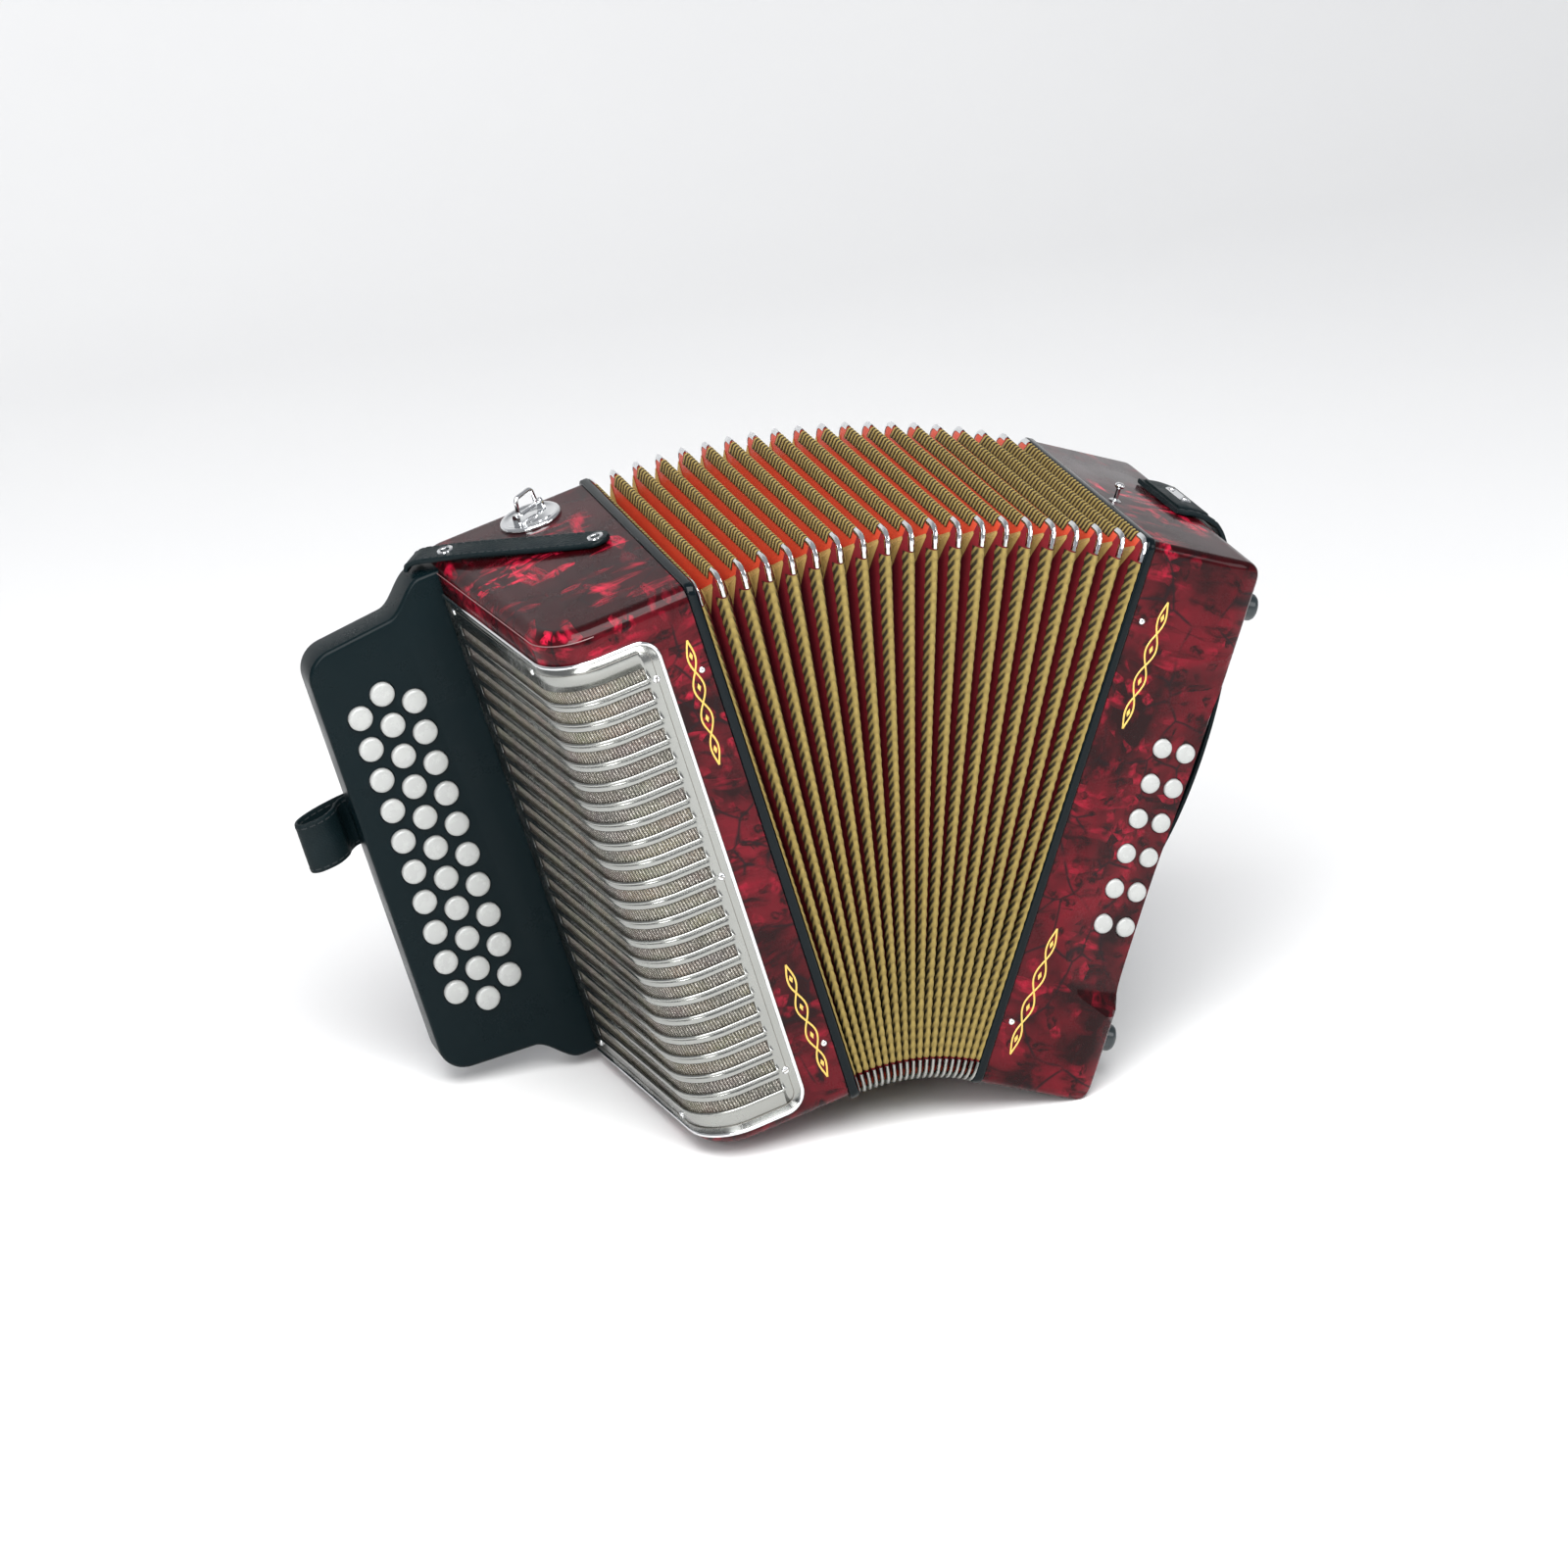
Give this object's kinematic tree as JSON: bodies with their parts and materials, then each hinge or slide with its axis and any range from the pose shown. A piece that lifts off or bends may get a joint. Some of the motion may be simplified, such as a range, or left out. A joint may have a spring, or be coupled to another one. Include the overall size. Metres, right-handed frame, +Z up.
{
  "type": "button accordion",
  "caption": "Free-reed squeezebox with a stepped fingerboard of round buttons, a slotted metal grille, pleated bellows fanned open and a bass box with a hand recess.",
  "frame": {"origin": "bottom centre of the whole instrument's box, as it stands on its two lower edges with the bellows fanned open", "axes": "+X from the melody side to the bass side, +Y from the audience to the player, +Z up"},
  "size_m": [0.5072, 0.1958, 0.3394],
  "materials": {
    "red_pearl": "polished crimson pearl celluloid with bright streaks and dark cracks",
    "black_lacquer": "satin black lacquer",
    "nickel": "satin nickel-plated sheet",
    "chrome": "polished chrome plate",
    "pearl_white": "white pearl plastic, softly polished",
    "leather": "black grained leather with stitched edges",
    "bellows_tape": "woven old-gold tape over pleated card",
    "reed_wood": "plain limewood",
    "cover_black": "matt black"
  },
  "bodies": {
    "treble": {"treble_casing": "red_pearl", "fingerboard": "black_lacquer", "melody_grille": "nickel", "treble_bellows_frame": "black_lacquer", "treble_reed_block": "reed_wood", "thumb_strap": "leather", "closing_strap": "leather", "strap_bracket": "chrome", "bellows": "bellows_tape"},
    "bass": {"bass_bellows_frame": "black_lacquer", "bass_casing": "red_pearl", "bass_end_cover": "cover_black", "bass_reed_block": "reed_wood", "hand_strap": "leather", "strap_post": "chrome"},
    "strap_ring": {"strap_ring": "chrome"},
    "air_button": {"air_button": "chrome"},
    "melody_button_01": {"melody_button_01": "pearl_white"},
    "melody_button_02": {"melody_button_02": "pearl_white"},
    "melody_button_03": {"melody_button_03": "pearl_white"},
    "melody_button_04": {"melody_button_04": "pearl_white"},
    "melody_button_05": {"melody_button_05": "pearl_white"},
    "melody_button_06": {"melody_button_06": "pearl_white"},
    "melody_button_07": {"melody_button_07": "pearl_white"},
    "melody_button_08": {"melody_button_08": "pearl_white"},
    "melody_button_09": {"melody_button_09": "pearl_white"},
    "melody_button_10": {"melody_button_10": "pearl_white"},
    "melody_button_11": {"melody_button_11": "pearl_white"},
    "melody_button_12": {"melody_button_12": "pearl_white"},
    "melody_button_13": {"melody_button_13": "pearl_white"},
    "melody_button_14": {"melody_button_14": "pearl_white"},
    "melody_button_15": {"melody_button_15": "pearl_white"},
    "melody_button_16": {"melody_button_16": "pearl_white"},
    "melody_button_17": {"melody_button_17": "pearl_white"},
    "melody_button_18": {"melody_button_18": "pearl_white"},
    "melody_button_19": {"melody_button_19": "pearl_white"},
    "melody_button_20": {"melody_button_20": "pearl_white"},
    "melody_button_21": {"melody_button_21": "pearl_white"},
    "melody_button_22": {"melody_button_22": "pearl_white"},
    "melody_button_23": {"melody_button_23": "pearl_white"},
    "melody_button_24": {"melody_button_24": "pearl_white"},
    "melody_button_25": {"melody_button_25": "pearl_white"},
    "melody_button_26": {"melody_button_26": "pearl_white"},
    "melody_button_27": {"melody_button_27": "pearl_white"},
    "melody_button_28": {"melody_button_28": "pearl_white"},
    "melody_button_29": {"melody_button_29": "pearl_white"},
    "melody_button_30": {"melody_button_30": "pearl_white"},
    "melody_button_31": {"melody_button_31": "pearl_white"},
    "bass_button_01": {"bass_button_01": "pearl_white"},
    "bass_button_02": {"bass_button_02": "pearl_white"},
    "bass_button_03": {"bass_button_03": "pearl_white"},
    "bass_button_04": {"bass_button_04": "pearl_white"},
    "bass_button_05": {"bass_button_05": "pearl_white"},
    "bass_button_06": {"bass_button_06": "pearl_white"},
    "bass_button_07": {"bass_button_07": "pearl_white"},
    "bass_button_08": {"bass_button_08": "pearl_white"},
    "bass_button_09": {"bass_button_09": "pearl_white"},
    "bass_button_10": {"bass_button_10": "pearl_white"},
    "bass_button_11": {"bass_button_11": "pearl_white"},
    "bass_button_12": {"bass_button_12": "pearl_white"}
  },
  "joints": [
    {"name": "bellows_fan", "type": "hinge", "parent": "treble", "child": "bass", "pos_m": [0.03458, -0.09635, 0.03011], "axis": [0, 1, 0], "range_deg": [-35, 20], "deforming": ["bellows"]},
    {"name": "air_valve", "type": "slide", "parent": "bass", "child": "air_button", "axis": [-0.9348, 0, 0.3551], "range_m": [0, 0.004], "stiffness_N_per_m": 300, "springref_m": -0.003},
    {"name": "bracket_ring", "type": "hinge", "parent": "treble", "child": "strap_ring", "pos_m": [-0.11413, 0.07165, 0.32226], "axis": [0.8221, 0.5299, 0.208], "range_deg": [-80, 80]},
    {"name": "press_melody_01", "type": "slide", "parent": "treble", "child": "melody_button_01", "axis": [0, 1, 0], "range_m": [0, 0.0028], "stiffness_N_per_m": 300, "springref_m": -0.002},
    {"name": "press_melody_02", "type": "slide", "parent": "treble", "child": "melody_button_02", "axis": [0, 1, 0], "range_m": [0, 0.0028], "stiffness_N_per_m": 300, "springref_m": -0.002},
    {"name": "press_melody_03", "type": "slide", "parent": "treble", "child": "melody_button_03", "axis": [0, 1, 0], "range_m": [0, 0.0028], "stiffness_N_per_m": 300, "springref_m": -0.002},
    {"name": "press_melody_04", "type": "slide", "parent": "treble", "child": "melody_button_04", "axis": [0, 1, 0], "range_m": [0, 0.0028], "stiffness_N_per_m": 300, "springref_m": -0.002},
    {"name": "press_melody_05", "type": "slide", "parent": "treble", "child": "melody_button_05", "axis": [0, 1, 0], "range_m": [0, 0.0028], "stiffness_N_per_m": 300, "springref_m": -0.002},
    {"name": "press_melody_06", "type": "slide", "parent": "treble", "child": "melody_button_06", "axis": [0, 1, 0], "range_m": [0, 0.0028], "stiffness_N_per_m": 300, "springref_m": -0.002},
    {"name": "press_melody_07", "type": "slide", "parent": "treble", "child": "melody_button_07", "axis": [0, 1, 0], "range_m": [0, 0.0028], "stiffness_N_per_m": 300, "springref_m": -0.002},
    {"name": "press_melody_08", "type": "slide", "parent": "treble", "child": "melody_button_08", "axis": [0, 1, 0], "range_m": [0, 0.0028], "stiffness_N_per_m": 300, "springref_m": -0.002},
    {"name": "press_melody_09", "type": "slide", "parent": "treble", "child": "melody_button_09", "axis": [0, 1, 0], "range_m": [0, 0.0028], "stiffness_N_per_m": 300, "springref_m": -0.002},
    {"name": "press_melody_10", "type": "slide", "parent": "treble", "child": "melody_button_10", "axis": [0, 1, 0], "range_m": [0, 0.0028], "stiffness_N_per_m": 300, "springref_m": -0.002},
    {"name": "press_melody_11", "type": "slide", "parent": "treble", "child": "melody_button_11", "axis": [0, 1, 0], "range_m": [0, 0.0028], "stiffness_N_per_m": 300, "springref_m": -0.002},
    {"name": "press_melody_12", "type": "slide", "parent": "treble", "child": "melody_button_12", "axis": [0, 1, 0], "range_m": [0, 0.0028], "stiffness_N_per_m": 300, "springref_m": -0.002},
    {"name": "press_melody_13", "type": "slide", "parent": "treble", "child": "melody_button_13", "axis": [0, 1, 0], "range_m": [0, 0.0028], "stiffness_N_per_m": 300, "springref_m": -0.002},
    {"name": "press_melody_14", "type": "slide", "parent": "treble", "child": "melody_button_14", "axis": [0, 1, 0], "range_m": [0, 0.0028], "stiffness_N_per_m": 300, "springref_m": -0.002},
    {"name": "press_melody_15", "type": "slide", "parent": "treble", "child": "melody_button_15", "axis": [0, 1, 0], "range_m": [0, 0.0028], "stiffness_N_per_m": 300, "springref_m": -0.002},
    {"name": "press_melody_16", "type": "slide", "parent": "treble", "child": "melody_button_16", "axis": [0, 1, 0], "range_m": [0, 0.0028], "stiffness_N_per_m": 300, "springref_m": -0.002},
    {"name": "press_melody_17", "type": "slide", "parent": "treble", "child": "melody_button_17", "axis": [0, 1, 0], "range_m": [0, 0.0028], "stiffness_N_per_m": 300, "springref_m": -0.002},
    {"name": "press_melody_18", "type": "slide", "parent": "treble", "child": "melody_button_18", "axis": [0, 1, 0], "range_m": [0, 0.0028], "stiffness_N_per_m": 300, "springref_m": -0.002},
    {"name": "press_melody_19", "type": "slide", "parent": "treble", "child": "melody_button_19", "axis": [0, 1, 0], "range_m": [0, 0.0028], "stiffness_N_per_m": 300, "springref_m": -0.002},
    {"name": "press_melody_20", "type": "slide", "parent": "treble", "child": "melody_button_20", "axis": [0, 1, 0], "range_m": [0, 0.0028], "stiffness_N_per_m": 300, "springref_m": -0.002},
    {"name": "press_melody_21", "type": "slide", "parent": "treble", "child": "melody_button_21", "axis": [0, 1, 0], "range_m": [0, 0.0028], "stiffness_N_per_m": 300, "springref_m": -0.002},
    {"name": "press_melody_22", "type": "slide", "parent": "treble", "child": "melody_button_22", "axis": [0, 1, 0], "range_m": [0, 0.0028], "stiffness_N_per_m": 300, "springref_m": -0.002},
    {"name": "press_melody_23", "type": "slide", "parent": "treble", "child": "melody_button_23", "axis": [0, 1, 0], "range_m": [0, 0.0028], "stiffness_N_per_m": 300, "springref_m": -0.002},
    {"name": "press_melody_24", "type": "slide", "parent": "treble", "child": "melody_button_24", "axis": [0, 1, 0], "range_m": [0, 0.0028], "stiffness_N_per_m": 300, "springref_m": -0.002},
    {"name": "press_melody_25", "type": "slide", "parent": "treble", "child": "melody_button_25", "axis": [0, 1, 0], "range_m": [0, 0.0028], "stiffness_N_per_m": 300, "springref_m": -0.002},
    {"name": "press_melody_26", "type": "slide", "parent": "treble", "child": "melody_button_26", "axis": [0, 1, 0], "range_m": [0, 0.0028], "stiffness_N_per_m": 300, "springref_m": -0.002},
    {"name": "press_melody_27", "type": "slide", "parent": "treble", "child": "melody_button_27", "axis": [0, 1, 0], "range_m": [0, 0.0028], "stiffness_N_per_m": 300, "springref_m": -0.002},
    {"name": "press_melody_28", "type": "slide", "parent": "treble", "child": "melody_button_28", "axis": [0, 1, 0], "range_m": [0, 0.0028], "stiffness_N_per_m": 300, "springref_m": -0.002},
    {"name": "press_melody_29", "type": "slide", "parent": "treble", "child": "melody_button_29", "axis": [0, 1, 0], "range_m": [0, 0.0028], "stiffness_N_per_m": 300, "springref_m": -0.002},
    {"name": "press_melody_30", "type": "slide", "parent": "treble", "child": "melody_button_30", "axis": [0, 1, 0], "range_m": [0, 0.0028], "stiffness_N_per_m": 300, "springref_m": -0.002},
    {"name": "press_melody_31", "type": "slide", "parent": "treble", "child": "melody_button_31", "axis": [0, 1, 0], "range_m": [0, 0.0028], "stiffness_N_per_m": 300, "springref_m": -0.002},
    {"name": "press_bass_01", "type": "slide", "parent": "bass", "child": "bass_button_01", "axis": [0, 1, 0], "range_m": [0, 0.0024], "stiffness_N_per_m": 300, "springref_m": -0.002},
    {"name": "press_bass_02", "type": "slide", "parent": "bass", "child": "bass_button_02", "axis": [0, 1, 0], "range_m": [0, 0.0024], "stiffness_N_per_m": 300, "springref_m": -0.002},
    {"name": "press_bass_03", "type": "slide", "parent": "bass", "child": "bass_button_03", "axis": [0, 1, 0], "range_m": [0, 0.0024], "stiffness_N_per_m": 300, "springref_m": -0.002},
    {"name": "press_bass_04", "type": "slide", "parent": "bass", "child": "bass_button_04", "axis": [0, 1, 0], "range_m": [0, 0.0024], "stiffness_N_per_m": 300, "springref_m": -0.002},
    {"name": "press_bass_05", "type": "slide", "parent": "bass", "child": "bass_button_05", "axis": [0, 1, 0], "range_m": [0, 0.0024], "stiffness_N_per_m": 300, "springref_m": -0.002},
    {"name": "press_bass_06", "type": "slide", "parent": "bass", "child": "bass_button_06", "axis": [0, 1, 0], "range_m": [0, 0.0024], "stiffness_N_per_m": 300, "springref_m": -0.002},
    {"name": "press_bass_07", "type": "slide", "parent": "bass", "child": "bass_button_07", "axis": [0, 1, 0], "range_m": [0, 0.0024], "stiffness_N_per_m": 300, "springref_m": -0.002},
    {"name": "press_bass_08", "type": "slide", "parent": "bass", "child": "bass_button_08", "axis": [0, 1, 0], "range_m": [0, 0.0024], "stiffness_N_per_m": 300, "springref_m": -0.002},
    {"name": "press_bass_09", "type": "slide", "parent": "bass", "child": "bass_button_09", "axis": [0, 1, 0], "range_m": [0, 0.0024], "stiffness_N_per_m": 300, "springref_m": -0.002},
    {"name": "press_bass_10", "type": "slide", "parent": "bass", "child": "bass_button_10", "axis": [0, 1, 0], "range_m": [0, 0.0024], "stiffness_N_per_m": 300, "springref_m": -0.002},
    {"name": "press_bass_11", "type": "slide", "parent": "bass", "child": "bass_button_11", "axis": [0, 1, 0], "range_m": [0, 0.0024], "stiffness_N_per_m": 300, "springref_m": -0.002},
    {"name": "press_bass_12", "type": "slide", "parent": "bass", "child": "bass_button_12", "axis": [0, 1, 0], "range_m": [0, 0.0024], "stiffness_N_per_m": 300, "springref_m": -0.002}
  ]
}
